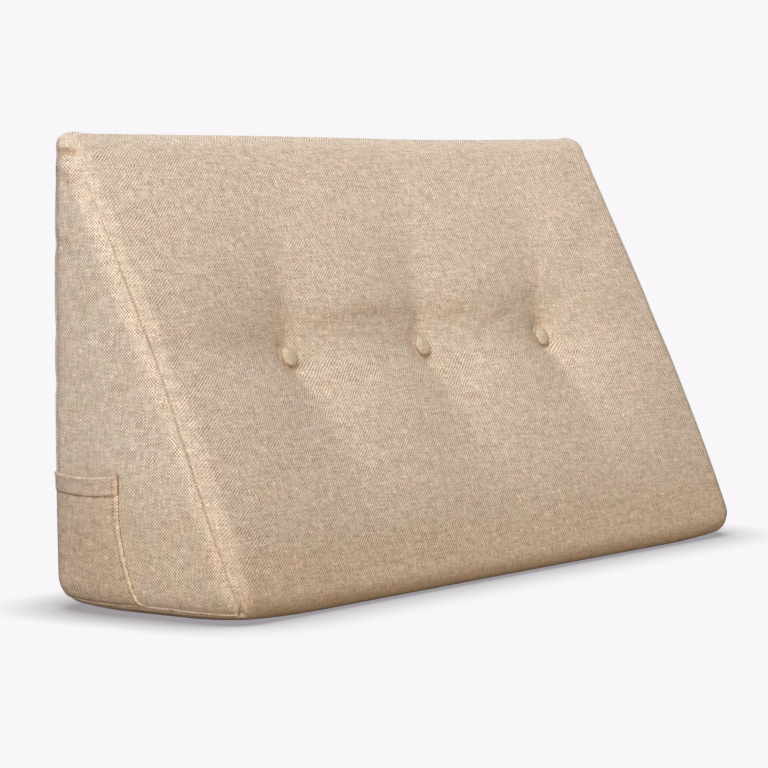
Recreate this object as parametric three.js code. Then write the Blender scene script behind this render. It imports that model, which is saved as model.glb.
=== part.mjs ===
// Wedge reading pillow: a filled wedge in a sewn cloth cover, drawn in by three covered buttons,
// with a patch pocket on its left end. Millimetres, +Z up, +X to the right, the front towards -Y.
// The cover is one skin: a soft meeting of five bulging faces, which rounds its edges and corners.

import * as THREE from "three";

// Cover, seam to seam
const width = 1000;
const height = 500;
const baseDepth = 258;
const topDepth = 26;

// How far each face bulges past its seams; a bulge fades to its edges as a sine to a power
const frontCrown = 28.8;
const frontCrownSkew = 0.935; // under 1 moves the fullest line down the slope
const frontCrownPower = 1.2;
const frontEdgeCrown = 11; // a part of the bulge that runs through to the two ends
const frontEdgeCrownSkew = 0.55;
const endCrown = 8;
const endCrownSkew = 0.6;
const backCrown = 6;
const crownPower = 0.9;
const uprightCrownPower = 0.8;
const acrossPower = 4;

// How deep the round of the edges reaches into each face
const frontRound = 21;
const backRound = 23;
const endRound = 27;
const topRound = 17;
const baseRound = 28;

// Corners of the base that the cover lifts off the ground, and a slack in the top edge
const cornerLift = 10;
const liftFreeX = 0.7; // share of the half width that lies flat
const liftFreeY = 0.3; // and of the half depth
const topSlack = 3;
const topSlackAt = 0.35;
const topSlackReach = 0.45;

// Gusset seam: how far it runs inside the end's outline, and how deep it draws the cloth in
const seamInset = 12;
const seamDepth = 1.6;
const seamHalfWidth = 5;

// Covered buttons in a row across the front
const buttonCount = 3;
const buttonPitch = width / (buttonCount + 1);
const buttonUp = 287; // along the slope, from the front edge
const buttonSink = 17; // seat below the straight slope
const buttonRadius = 11.5;
const buttonHeight = 7;
const buttonFoot = 7;
const seatRadius = 17.6;
const seatBlend = 10;

// Pull of each button on the cloth around it, which fades towards the panel's seams
const pullDepths = [35, 32, 31];
const pullReach = 160;
const rowValleyDepth = 7.5;
const rowValleyReach = 34;
const pullFadeAcross = 6;
const pullFadeAlong = 0.5;
// A crease above and one below each button: length, depth at the button, and sideways drift
const creases = [
  { way: 1, length: 400, depth: 5.7, drift: 0.24 },
  { way: -1, length: 280, depth: 7.4, drift: 0.14 },
];
const creaseStart = 13;
const creaseReach = 45;
const creaseSpread = 0.245;
const creaseNose = 5.3;
const creaseNoseGrowth = 0.09;

// Puckers where the end's seam turns at the top: place on the end, reach and depth
const puckers = [
  { y: 102, z: 472, alongY: 12, alongZ: 5, depth: 3.5 },
  { y: 97, z: 444, alongY: 14, alongZ: 8, depth: 1.8 },
];

// Patch pocket on the left end
const pocketMouth = 145;
const pocketMouthDip = 3;
const pocketFoot = 15;
const pocketBack = baseDepth / 2 - 13;
const pocketFront = 28;
const pocketFlare = 30; // how far its front edge runs forward at the foot
const pocketFlareFrom = 110;
const pocketFlareBend = 1.5;
const pocketCloth = 1.6;
const pocketHem = 21;
const pocketHemExtra = 0.9;
const pocketSlack = 8; // room between the pocket and the end
const pocketSeamGap = 0.7;
const pocketOpensBy = 0.65; // share of its height at which it has its full room

const seatGap = 0.3;
// How much closer together the skin's points lie
const tightAtButtons = 0.85;
const tightAtEdges = 0.72;
const slopeLength = Math.hypot(baseDepth - topDepth, height);
const slopeY = (baseDepth - topDepth) / slopeLength;
const slopeZ = height / slopeLength;
const slopeNormal = new THREE.Vector3(0, -slopeZ, slopeY);

function clamp(value, low, high) {
  return Math.min(Math.max(value, low), high);
}

function smooth(value) {
  const t = clamp(value, 0, 1);
  return t * t * (3 - 2 * t);
}

// A bulge that is 0 at 0 and at 1
function hump(t, power) {
  return Math.sin(Math.PI * clamp(t, 0, 1)) ** power;
}

// How far the buttons, the row between them and their creases draw the front's cloth in
function buttonPull(x, dUp) {
  let pull = rowValleyDepth * Math.exp(-((dUp / rowValleyReach) ** 2));
  pullDepths.forEach((pullDepth, i) => {
    const dx = x - (i - (buttonCount - 1) / 2) * buttonPitch;
    pull += pullDepth * Math.exp(-Math.hypot(dx, dUp) / pullReach);
    for (const crease of creases) {
      const run = crease.way * dUp;
      const fade = 1 - smooth(run / crease.length);
      const start = smooth((run + creaseStart) / (2 * creaseStart));
      const nose = creaseNose + creaseNoseGrowth * Math.max(run, 0);
      const off = Math.hypot(dx - crease.drift * run, nose) - nose;
      const reach = creaseReach + creaseSpread * Math.max(run, 0);
      pull += crease.depth * fade * start * Math.exp(-off / reach);
    }
  });
  return pull;
}

// Level of the front's cloth over the straight slope, at x and a distance up the slope
function frontLevel(x, up) {
  const across = Math.min(Math.abs((2 * x) / width), 1);
  const along = clamp(up / slopeLength, 0, 1);
  let level = frontCrown * (1 - across ** acrossPower) * hump(along ** frontCrownSkew, frontCrownPower);
  level += frontEdgeCrown * hump(along ** frontEdgeCrownSkew, 1);
  const inPanel = hump(along, pullFadeAlong) * (1 - across ** pullFadeAcross);
  level -= buttonPull(x, up - buttonUp) * inPanel;
  let seat = 0;
  for (let i = 0; i < buttonCount; i += 1) {
    const far = Math.hypot(x - (i - (buttonCount - 1) / 2) * buttonPitch, up - buttonUp);
    seat = Math.max(seat, 1 - smooth((far - seatRadius) / seatBlend));
  }
  return level * (1 - seat) - buttonSink * seat;
}

function endLevel(y, z) {
  const deep = baseDepth - ((baseDepth - topDepth) * z) / height;
  const forward = clamp((baseDepth / 2 - y) / deep, 0, 1);
  const upright = clamp(z / height, 0, 1) ** endCrownSkew;
  let level = endCrown * hump(forward, crownPower) * hump(upright, uprightCrownPower);
  for (const p of puckers) {
    level -= p.depth * Math.exp(-(((y - p.y) / p.alongY) ** 2) - ((z - p.z) / p.alongZ) ** 2);
  }
  return level;
}

function baseLift(x, y) {
  const nearEnd = Math.max(0, Math.abs((2 * x) / width) - liftFreeX) / (1 - liftFreeX);
  const nearEdge = Math.max(0, Math.abs((2 * y) / baseDepth) - liftFreeY) / (1 - liftFreeY);
  return cornerLift * nearEnd ** 2 * nearEdge ** 2;
}

// Under 0 inside the cover, 0 on its skin, over 0 outside
function skinValue(p) {
  const across = (2 * p.x) / width;
  const up = (p.y + baseDepth / 2) * slopeY + p.z * slopeZ;
  const slack = topSlack * Math.exp(-(((across - topSlackAt) / topSlackReach) ** 2));
  const backLevel = backCrown * (1 - across ** acrossPower / 2) * hump(p.z / height, uprightCrownPower);
  const past = [
    [p.z * slopeY - (p.y + baseDepth / 2) * slopeZ - frontLevel(p.x, up), frontRound],
    [p.y - baseDepth / 2 - backLevel, backRound],
    [Math.abs(p.x) - width / 2 - endLevel(p.y, p.z), endRound],
    [p.z - height + slack, topRound],
    [baseLift(p.x, p.y) - p.z, baseRound],
  ];
  let sum = 0;
  for (const [over, round] of past) {
    sum += Math.max(0, 1 + over / round) ** 2;
  }
  return Math.sqrt(sum) - 1;
}

// The nearest point of a slimmer wedge inside the cover, from which a skin point is sought
function corePoint(p) {
  const margin = 70;
  const topMargin = 45;
  const z = clamp(p.z, margin, height - topMargin);
  const slopeAt = -baseDepth / 2 + ((baseDepth - topDepth) * z) / height;
  const low = slopeAt + margin;
  const high = baseDepth / 2 - margin;
  const y = low < high ? clamp(p.y, low, high) : (slopeAt + baseDepth / 2) / 2;
  return new THREE.Vector3(clamp(p.x, margin - width / 2, width / 2 - margin), y, z);
}

// Moves a point of the sharp wedge along its line from the core to the skin
function onSkin(sharp) {
  const core = corePoint(sharp);
  const reach = sharp.clone().sub(core);
  const farthest = 1.6;
  let low = 0;
  let high = farthest;
  for (let halving = 0; halving < 30; halving += 1) {
    const middle = (low + high) / 2;
    if (skinValue(core.clone().addScaledVector(reach, middle)) < 0) {
      low = middle;
    } else {
      high = middle;
    }
  }
  return core.addScaledVector(reach, low);
}

function skinNormal(p) {
  const step = 0.5;
  const normal = new THREE.Vector3();
  for (const axis of ["x", "y", "z"]) {
    const ahead = p.clone();
    const behind = p.clone();
    ahead[axis] += step;
    behind[axis] -= step;
    normal[axis] = skinValue(ahead) - skinValue(behind);
  }
  return normal.normalize();
}

// Stops from 0 to 1, closer together at both ends by the share that tight gives
function stops(count, tight) {
  return Array.from({ length: count }, (_, i) => {
    const t = i / count;
    return t - (tight * Math.sin(2 * Math.PI * t)) / (2 * Math.PI);
  });
}

// Where points lie along the four sides of the sharp wedge's outline: slope, top, back and base.
// They move level onto the skin, so a sunk one slides up the slope: the buttons' row starts lower.
const rowShare = (buttonUp - (buttonSink * slopeY) / slopeZ) / slopeLength;
const belowRow = stops(13, tightAtButtons).map((t) => t * rowShare);
const aboveRow = stops(12, tightAtButtons).map((t) => rowShare + t * (1 - rowShare));
const outlineStops = [
  [...belowRow, ...aboveRow],
  stops(3, 0),
  stops(13, tightAtEdges),
  stops(10, tightAtEdges),
];

// Corners of the outline at an inset, from the front edge up the slope and down the back
function insetCorners(inset) {
  const slopeInset = inset / slopeZ;
  const slopeAt = (z) => -baseDepth / 2 + ((baseDepth - topDepth) * z) / height + slopeInset;
  const back = baseDepth / 2 - inset;
  return [
    [slopeAt(inset), inset],
    [slopeAt(height - inset), height - inset],
    [back, height - inset],
    [back, inset],
  ];
}

function ringPoints(x, corners) {
  const points = [];
  corners.forEach(([y, z], side) => {
    const [nextY, nextZ] = corners[(side + 1) % corners.length];
    for (const t of outlineStops[side]) {
      points.push(new THREE.Vector3(x, y + (nextY - y) * t, z + (nextZ - z) * t));
    }
  });
  return points;
}

// One closed geometry from rings of points, each ring joined to the next and both ends capped
function closedRings(rings, firstTip, lastTip) {
  const count = rings[0].length;
  const points = [...rings.flat(), firstTip, lastTip];
  const firstIndex = points.length - 2;
  const lastIndex = points.length - 1;
  const faces = [];
  for (let i = 0; i < count; i += 1) {
    const next = (i + 1) % count;
    for (let r = 0; r + 1 < rings.length; r += 1) {
      const a = r * count + i;
      const b = r * count + next;
      faces.push(a, a + count, b, b, a + count, b + count);
    }
    const lastRing = (rings.length - 1) * count;
    faces.push(firstIndex, i, next, lastIndex, lastRing + next, lastRing + i);
  }
  const geometry = new THREE.BufferGeometry().setFromPoints(points);
  geometry.setIndex(faces);
  return geometry;
}

function bodyGeometry() {
  const [centreY, centreZ] = [baseDepth * 0.17, height * 0.36]; // where an end's rings close
  const edgeInsets = [seamInset + seamHalfWidth, seamInset, seamInset - seamHalfWidth, 0];
  const innerShares = [0.24, 0.46, 0.66, 0.84];
  const endRings = (x) => {
    const inner = insetCorners(seamInset + seamHalfWidth);
    const shrunk = (share) => ([y, z]) => [centreY + (y - centreY) * share, centreZ + (z - centreZ) * share];
    const rings = innerShares.map((share) => ringPoints(x, inner.map(shrunk(share))));
    rings.push(...edgeInsets.map((inset) => ringPoints(x, insetCorners(inset))));
    return rings.map((ring) => ring.map(onSkin));
  };
  const drawIn = (rings) => {
    const seam = rings[innerShares.length + 1];
    seam.forEach((p) => p.addScaledVector(skinNormal(p), -seamDepth));
    return rings;
  };
  const middle = [];
  for (let bay = 0; bay <= buttonCount; bay += 1) {
    for (const t of stops(12, tightAtButtons)) {
      if (bay + t > 0) {
        middle.push(ringPoints(-width / 2 + (bay + t) * buttonPitch, insetCorners(0)).map(onSkin));
      }
    }
  }
  const left = drawIn(endRings(-width / 2));
  const right = drawIn(endRings(width / 2)).reverse();
  const tip = (x) => onSkin(new THREE.Vector3(x, centreY, centreZ));
  return closedRings([...left, ...middle, ...right], tip(-width / 2), tip(width / 2));
}

// Front edge of the pocket: straight down from the mouth, then running forward to the foot
function pocketFrontAt(z) {
  const down = clamp((pocketFlareFrom - z) / (pocketFlareFrom - pocketFoot), 0, 1);
  return pocketFront - pocketFlare * down ** pocketFlareBend;
}

function pocketGeometry() {
  const columns = 18;
  const rows = 16;
  const layers = [];
  for (let r = 0; r <= rows; r += 1) {
    const high = r / rows;
    const inner = [];
    const outer = [];
    for (let c = 0; c <= columns; c += 1) {
      const along = c / columns;
      const top = pocketMouth - pocketMouthDip * hump(along, 1);
      const z = pocketFoot + (top - pocketFoot) * high;
      const y = pocketBack + (pocketFrontAt(z) - pocketBack) * along;
      const skin = onSkin(new THREE.Vector3(-width / 2, y, z));
      const normal = skinNormal(skin);
      const open = hump(along, 0.6) * smooth(high / pocketOpensBy);
      const gap = pocketSeamGap + (pocketSlack - pocketSeamGap) * open;
      const thick = pocketCloth + (top - z < pocketHem ? pocketHemExtra : 0);
      inner.push(skin.clone().addScaledVector(normal, gap));
      outer.push(skin.clone().addScaledVector(normal, gap + thick));
    }
    layers.push([...inner, ...outer.reverse()]);
  }
  return sheetFromLoops(layers);
}

// Closes loops that go along a sheet's inner face and back along its outer face
function sheetFromLoops(layers) {
  const count = layers[0].length;
  const faces = [];
  for (let r = 0; r + 1 < layers.length; r += 1) {
    for (let i = 0; i < count; i += 1) {
      const a = r * count + i;
      const b = r * count + ((i + 1) % count);
      faces.push(a, a + count, b, b, a + count, b + count);
    }
  }
  const lastLoop = (layers.length - 1) * count;
  for (let i = 0; i + 1 < count / 2; i += 1) {
    const back = count - 1 - i;
    faces.push(i, i + 1, back, i + 1, back - 1, back);
    faces.push(lastLoop + i, lastLoop + back, lastLoop + i + 1);
    faces.push(lastLoop + i + 1, lastLoop + back, lastLoop + back - 1);
  }
  const geometry = new THREE.BufferGeometry().setFromPoints(layers.flat());
  geometry.setIndex(faces);
  return geometry;
}

// A covered button: a small foot, a soft rim and a low dome
function buttonGeometry() {
  const profile = [
    [0, 0],
    [buttonFoot, 0],
    [buttonRadius - 1, buttonHeight * 0.2],
    [buttonRadius, buttonHeight * 0.4],
    [buttonRadius - 0.6, buttonHeight * 0.6],
    [buttonRadius * 0.78, buttonHeight * 0.8],
    [buttonRadius * 0.45, buttonHeight * 0.95],
    [0, buttonHeight],
  ];
  return new THREE.LatheGeometry(profile.map(([r, h]) => new THREE.Vector2(r, h)), 24);
}

function clothMaterial(colour) {
  return new THREE.MeshStandardMaterial({ color: colour, roughness: 0.92, metalness: 0 });
}

const pillow = new THREE.Group();

const body = new THREE.Mesh(bodyGeometry(), clothMaterial(0xc4ae95));
body.name = "wedge_body";
pillow.add(body);

const pocket = new THREE.Mesh(pocketGeometry(), clothMaterial(0xb7a18e));
pocket.name = "side_pocket";
pillow.add(pocket);

for (let i = 0; i < buttonCount; i += 1) {
  const button = new THREE.Mesh(buttonGeometry(), clothMaterial(0xc0a98f));
  button.name = `button_${i + 1}`;
  const x = (i - (buttonCount - 1) / 2) * buttonPitch;
  button.position.set(x, buttonUp * slopeY - baseDepth / 2, buttonUp * slopeZ);
  button.position.addScaledVector(slopeNormal, seatGap - buttonSink);
  button.quaternion.setFromUnitVectors(new THREE.Vector3(0, 1, 0), slopeNormal);
  pillow.add(button);
}

// The origin is on the ground, under the middle of the whole pillow
const extent = new THREE.Box3().setFromObject(pillow);
const middle = extent.getCenter(new THREE.Vector3());
pillow.position.set(-middle.x, -middle.y, -extent.min.z);

export default pillow;
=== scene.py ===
import math

import bpy
import numpy as np
from mathutils import Matrix, Vector
from mathutils.kdtree import KDTree


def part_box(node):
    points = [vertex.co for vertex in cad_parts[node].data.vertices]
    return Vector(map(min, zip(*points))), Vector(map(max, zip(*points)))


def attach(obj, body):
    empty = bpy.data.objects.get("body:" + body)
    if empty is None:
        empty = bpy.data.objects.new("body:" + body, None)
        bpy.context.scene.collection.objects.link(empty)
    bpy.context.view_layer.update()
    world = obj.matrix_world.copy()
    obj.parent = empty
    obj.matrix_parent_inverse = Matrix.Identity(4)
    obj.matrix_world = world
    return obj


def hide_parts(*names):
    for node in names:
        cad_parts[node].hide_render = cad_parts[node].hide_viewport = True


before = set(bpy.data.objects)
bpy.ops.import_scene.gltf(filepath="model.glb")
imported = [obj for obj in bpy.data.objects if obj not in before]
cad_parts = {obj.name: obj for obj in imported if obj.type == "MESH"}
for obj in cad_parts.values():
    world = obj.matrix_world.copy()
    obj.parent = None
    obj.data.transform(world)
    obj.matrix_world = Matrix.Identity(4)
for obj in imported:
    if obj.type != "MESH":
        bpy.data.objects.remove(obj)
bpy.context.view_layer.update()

# Looks of the wedge reading pillow: its cover, side pocket, stitching and covered buttons
# Lengths are in metres; x runs along the pillow's width, y towards its upright back and z up
MM = 0.001

# Cover, seam to seam
WIDTH = 1000 * MM
HEIGHT = 500 * MM
BASE_DEPTH = 258 * MM
TOP_DEPTH = 26 * MM

# How far each face bulges past its seams
FRONT_CROWN = 28.8 * MM
FRONT_CROWN_SKEW = 0.935
FRONT_CROWN_POWER = 1.2
FRONT_EDGE_CROWN = 11 * MM
FRONT_EDGE_CROWN_SKEW = 0.55
END_CROWN = 8 * MM
END_CROWN_SKEW = 0.6
BACK_CROWN = 6 * MM
CROWN_POWER = 0.9
UPRIGHT_CROWN_POWER = 0.8
ACROSS_POWER = 4

# How deep the round of the edges reaches into each face
FRONT_ROUND = 21 * MM
BACK_ROUND = 23 * MM
END_ROUND = 31 * MM
TOP_ROUND = 17 * MM
BASE_ROUND = 28 * MM

# Corners of the base that the cover lifts off the ground, and a slack in the top edge
CORNER_LIFT = 10 * MM
LIFT_FREE_X = 0.7
LIFT_FREE_Y = 0.3
TOP_SLACK = 3 * MM
TOP_SLACK_AT = 0.35
TOP_SLACK_REACH = 0.45

# End seams: inset from the end's sharp edge at places along the outline, from the slope's foot up the
# slope, over the top, down the back and along the base; under 0 the seam lies on the front's side
SEAM_RUN = np.array([
    (0, -1.5), (14, -3), (30, -3.6), (102, -3), (214, -7.4), (290, -11.4), (330, -9.1),
    (398, -7.8), (425, -6.8), (481, 0.5), (526, 3), (548, 8), (570, 12), (1045, 10),
    (1077, 4), (1154, 6), (1196, 10.5), (1236, 9.5), (1286, 6), (1317, 0), (1335, -1.5),
]) * MM
SEAM_RUN_SOFTNESS = 14 * MM
SEAM_RUN_STEPS = 7
# The cover has a ring of points on the seam, and one at each of these distances on either side of it
RING_DISTANCES = [
    36, 30, 25, 21, 17.5, 14.5, 12, 10, 8.2, 6.8, 5.6, 4.6, 3.7, 3, 2.4, 1.9, 1.4, 1, 0.6, 0.3,
]
SEAM_OFFSETS = np.array([*RING_DISTANCES, 0, *[-far for far in reversed(RING_DISTANCES)]]) * MM
SEAM_FOLLOW = 8 * MM
SEAM_INSET_LIMIT = 12 * MM
BASE_SEAM_SHARE = 0.83
SEAM_DEPTH = 2.6 * MM
SEAM_REACH = 0.9 * MM
SEAM_SOFT_FROM = 330 * MM
SEAM_SOFT_TO = 450 * MM
SEAM_SOFT_SHARE = 0.7
SEAM_CALM_FULL = 4 * MM
SEAM_CALM_FADE = 28 * MM
SEAM_LIP = 0.9 * MM
SEAM_LIP_AT = 4 * MM
SEAM_LIP_REACH = 3 * MM
# How unevenly the seam is drawn in along its run, in a short and a long wave
SEAM_WANDER = 0.2
SHORT_WANDER = 9 * MM
LONG_WANDER = 23 * MM
LONG_WANDER_START = 1
# Along the base the seam stands proud instead, and the cloth below it is tucked in
BASE_RIDGE = 1.9 * MM
BASE_RIDGE_REACH = 1.3 * MM
BASE_TUCK = 4 * MM
BASE_TUCK_AT = 5 * MM
BASE_TUCK_REACH = 3.2 * MM
BASE_SEAM_TOP = 24 * MM
BASE_SEAM_BLEND = 10 * MM

# Topstitch beside the front's end seams, and the stitches of the pocket
TOPSTITCH_IN = 13 * MM
TOPSTITCH_RISE = np.linspace(0.035, 0.965, 240)
STITCH_PITCH = 4 * MM
STITCH_LENGTH = 2.7 * MM
STITCH_RADIUS = 0.28 * MM
STITCH_SINK = 0.16 * MM
STITCH_SIDES = 6
# A stitch from end to end: the place as a share of its length, and how much of its radius is full there
STITCH_RINGS = [(-0.5, 0.35), (-0.38, 0.85), (0, 1.0), (0.38, 0.85), (0.5, 0.35)]

# A short cloth simulation with pressure, held at the seams, the buttons, the pocket and the base
SIM_VOXEL = 8 * MM
SIM_PRESSURE = 4
SIM_STIFFNESS = 200
SIM_FRAMES = 20
SIM_START_IN = 2 * MM
SIM_CAP = 3 * MM
SIM_HELD_SEAM = 15 * MM
SIM_HELD_BUTTON = 24 * MM
SIM_HELD_BASE = 10 * MM
SIM_HELD_POCKET = 20 * MM
SIM_HELD_FADE = 30 * MM
SIM_NEAREST = 6

# Covered buttons in a row across the front
BUTTON_PITCH = WIDTH / 4
BUTTON_PLACES = [-BUTTON_PITCH, 0, BUTTON_PITCH]
BUTTON_NUMBERS = [1, 2, 3]
BUTTON_UP = 287 * MM
BUTTON_SINK = 17 * MM
BUTTON_RADIUS = 11.5 * MM
BUTTON_HEIGHT = 7 * MM
SEAT_GAP = 0.3 * MM
SEAT_RADIUS = 12.5 * MM
SEAT_BLEND = 9 * MM
# Where the pull takes the cloth deeper than a seat, the seat stands up out of it within this distance
LOW_SEAT_BLEND = 3.5 * MM
# A button from under its rim over its dome: share of its radius and share of its height
BUTTON_PROFILE = [
    (0.62, 0.02), (0.86, 0.1), (0.97, 0.24), (1.0, 0.38), (0.985, 0.52), (0.94, 0.66), (0.87, 0.76),
    (0.78, 0.84), (0.66, 0.9), (0.52, 0.945), (0.36, 0.975), (0.2, 0.992), (0.08, 0.999),
]
BUTTON_RIM_HIGH = 0.38
BUTTON_SIDES = 64
# The cloth is gathered under the rim, less and less up to this share of the height
GATHERS = 17
GATHER_DEPTH = 0.02
GATHERS_END = 0.6
GATHERS_TURN = 2.1
# Each button is cut from its own place on the cloth
BUTTON_CLOTH_APART = 1.7
BUTTON_CLOTH_UP = 0.3

# Pull of each button on the cloth around it, which fades towards the panel's seams; where the near pull
# is under 0, the cloth close to the button stands up a little
PULL_DEPTHS = [35 * MM, 32 * MM, 31 * MM]
PULL_REACH = 160 * MM
NEAR_PULL_DEPTHS = [-2.6 * MM, -5 * MM, 0]
NEAR_PULL_REACH = 30 * MM
ROW_VALLEY_DEPTH = 7.5 * MM
ROW_VALLEY_REACH = 34 * MM
PULL_FADE_ACROSS = 6
PULL_FADE_ALONG = 0.5
# A crease above and one below each button: way 1 runs up the slope, the drift takes it to the right as it
# runs, and left and right are shares of its reach on either side
CREASES = [
    {"way": 1, "length": 400 * MM, "depth": 9 * MM, "drift": 0.24, "left": 1.35, "right": 1},
    {"way": -1, "length": 280 * MM, "depth": 10 * MM, "drift": 0.14, "left": 1, "right": 1.15},
]
CREASE_START = 13 * MM
CREASE_REACH = 34 * MM
CREASE_SPREAD = 0.245
CREASE_NOSE = 5.3 * MM
CREASE_NOSE_GROWTH = 0.09

# Puckers of the end's cloth: place on the end, reach and depth; under 0 it swells
PUCKERS = [
    {"y": 105 * MM, "z": 473 * MM, "along_y": 11 * MM, "along_z": 3.6 * MM, "depth": 9 * MM},
    {"y": 98 * MM, "z": 459 * MM, "along_y": 16 * MM, "along_z": 5 * MM, "depth": -2 * MM},
    {"y": 100 * MM, "z": 444 * MM, "along_y": 14 * MM, "along_z": 7 * MM, "depth": 3 * MM},
    {"y": 122 * MM, "z": 380 * MM, "along_y": 20 * MM, "along_z": 8 * MM, "depth": 2 * MM},
    {"y": 122 * MM, "z": 294 * MM, "along_y": 18 * MM, "along_z": 9 * MM, "depth": 2 * MM},
    {"y": 122 * MM, "z": 238 * MM, "along_y": 20 * MM, "along_z": 8 * MM, "depth": 1.8 * MM},
    {"y": -28 * MM, "z": 22 * MM, "along_y": 9 * MM, "along_z": 12 * MM, "depth": 2 * MM},
]
# The right end has the same puckers, only shallower
FAR_PUCKER_SHARE = 0.4

# Patch pocket on the left end
POCKET_MOUTH = 145 * MM
POCKET_MOUTH_DIP = 3 * MM
POCKET_FOOT = 7 * MM
POCKET_FOOT_TAPER = 7 * MM
POCKET_FOOT_SHARE = 0.25
POCKET_BACK = BASE_DEPTH / 2 - 13 * MM
POCKET_FRONT = 27 * MM
POCKET_FLARE = 27 * MM
POCKET_FLARE_FROM = 110 * MM
POCKET_FLARE_BEND = 1.75
POCKET_CLOTH = 1.4 * MM
POCKET_SLACK = 4.5 * MM
POCKET_SLACK_POWER = 0.6
POCKET_SEAM_GAP = 0.4 * MM
POCKET_OPENS_BY = 0.65
POCKET_HEM = 21 * MM
POCKET_HEM_EXTRA = 1.1 * MM
POCKET_HEM_BLEND = 2 * MM
POCKET_FOLD_EXTRA = 1.2 * MM
POCKET_FOLD_REACH = 2.2 * MM
POCKET_EDGE_TURN = 6 * MM
POCKET_EDGE_EXTRA = 1.5 * MM
POCKET_EDGE_BLEND = 1.5 * MM
POCKET_STITCH_SINK = 1.0 * MM
POCKET_STITCH_REACH = 1.2 * MM
POCKET_STITCH_SHARES = np.linspace(0.01, 0.985, 160)
POCKET_RIM_ROUND = 2.4 * MM
POCKET_RIM_DROP = 1.8 * MM
# Where the pocket has its points: in from its front edge, down from its mouth and up from its foot, and
# how many lie evenly between
POCKET_EDGE_STOPS = np.array([0, 0.3, 0.7, 1.2, 1.8, 2.6, 3.6, 4.6, 5.4, 6, 6.6, 7.6, 9]) * MM
POCKET_MOUTH_STOPS = np.array([
    0, 0.3, 0.7, 1.2, 2.5, 5, 9, 13, 16, 18.5, 19.8, 20.4, 21, 21.6, 22.4, 23.5, 26,
]) * MM
POCKET_FOOT_STOPS = np.array([0, 0.7, 1.5, 2.5, 4]) * MM
POCKET_EVEN_ACROSS = 40
POCKET_EVEN_UP = 42

# Each point's place on the flat cloth has a third value, a mark for the look of the weave: 0 on open cloth,
# 1 at a cover seam, which calms the weave, up to 2 on the pocket's rims for a painted highlight, and under
# 0 in stitch lines and inside the pocket for painted shade
RIM_HIGHLIGHT_MARK = 2
RIM_MARK_FROM = POCKET_RIM_ROUND / 3
STITCH_SHADE_MARK = -0.5
STITCH_MARK_FROM = POCKET_RIM_ROUND * 1.4
INSIDE_SHADE_MARK = -1

# The slope's own directions
SLOPE_LENGTH = math.hypot(BASE_DEPTH - TOP_DEPTH, HEIGHT)
SLOPE_Y = (BASE_DEPTH - TOP_DEPTH) / SLOPE_LENGTH
SLOPE_Z = HEIGHT / SLOPE_LENGTH
SLOPE_NORMAL = np.array([0, -SLOPE_Z, SLOPE_Y])

# A slimmer wedge inside the cover, and the halving search from it for the skin
CORE_MARGIN = 70 * MM
CORE_TOP_MARGIN = 45 * MM
SEARCH_REACH = 1.6
SEARCH_STEPS = 28
NORMAL_STEP = 0.5 * MM


def smooth(value):
    """A soft step from 0 at 0 to 1 at 1"""
    t = np.clip(value, 0, 1)
    return t * t * (3 - 2 * t)


def hump(t, power):
    """A bulge that is 0 at 0 and at 1"""
    return np.sin(np.pi * np.clip(t, 0, 1)) ** power


def front_level(x, up):
    """Level of the front's cloth over the straight slope"""
    across = np.minimum(np.abs(2 * x / WIDTH), 1)
    along = np.clip(up / SLOPE_LENGTH, 0, 1)
    crown = FRONT_CROWN * (1 - across**ACROSS_POWER) * hump(along**FRONT_CROWN_SKEW, FRONT_CROWN_POWER)
    crown += FRONT_EDGE_CROWN * hump(along**FRONT_EDGE_CROWN_SKEW, 1)
    d_up = up - BUTTON_UP
    pull = ROW_VALLEY_DEPTH * np.exp(-((d_up / ROW_VALLEY_REACH) ** 2))
    seat, low_seat = np.zeros_like(x), np.zeros_like(x)
    for place, pull_depth, near_depth in zip(BUTTON_PLACES, PULL_DEPTHS, NEAR_PULL_DEPTHS):
        dx = x - place
        far = np.hypot(dx, d_up)
        pull += pull_depth * np.exp(-far / PULL_REACH) + near_depth * np.exp(-far / NEAR_PULL_REACH)
        for crease in CREASES:
            run = crease["way"] * d_up
            on_run = np.maximum(run, 0)
            fade = 1 - smooth(run / crease["length"])
            start = smooth((run + CREASE_START) / (2 * CREASE_START))
            nose = CREASE_NOSE + CREASE_NOSE_GROWTH * on_run
            beside = dx - crease["drift"] * run
            off = np.hypot(beside, nose) - nose
            reach = CREASE_REACH + CREASE_SPREAD * on_run
            reach *= np.where(beside < 0, crease["left"], crease["right"])
            pull += crease["depth"] * fade * start * np.exp(-off / reach)
        seat = np.maximum(seat, 1 - smooth((far - SEAT_RADIUS) / SEAT_BLEND))
        low_seat = np.maximum(low_seat, 1 - smooth((far - BUTTON_RADIUS) / LOW_SEAT_BLEND))
    level = crown - pull * hump(along, PULL_FADE_ALONG) * (1 - across**PULL_FADE_ACROSS)
    seat = np.where(level < -BUTTON_SINK, low_seat, seat)
    return level * (1 - seat) - BUTTON_SINK * seat


def end_level(x, y, z):
    """Level of an end's cloth over the straight end"""
    deep = BASE_DEPTH - (BASE_DEPTH - TOP_DEPTH) * z / HEIGHT
    forward = np.clip((BASE_DEPTH / 2 - y) / np.maximum(deep, MM), 0, 1)
    upright = np.clip(z / HEIGHT, 0, 1) ** END_CROWN_SKEW
    level = END_CROWN * hump(forward, CROWN_POWER) * hump(upright, UPRIGHT_CROWN_POWER)
    gathered = np.where(x < 0, 1, FAR_PUCKER_SHARE)
    for p in PUCKERS:
        spot = ((y - p["y"]) / p["along_y"]) ** 2 + ((z - p["z"]) / p["along_z"]) ** 2
        level -= gathered * p["depth"] * np.exp(-spot)
    return level


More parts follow.
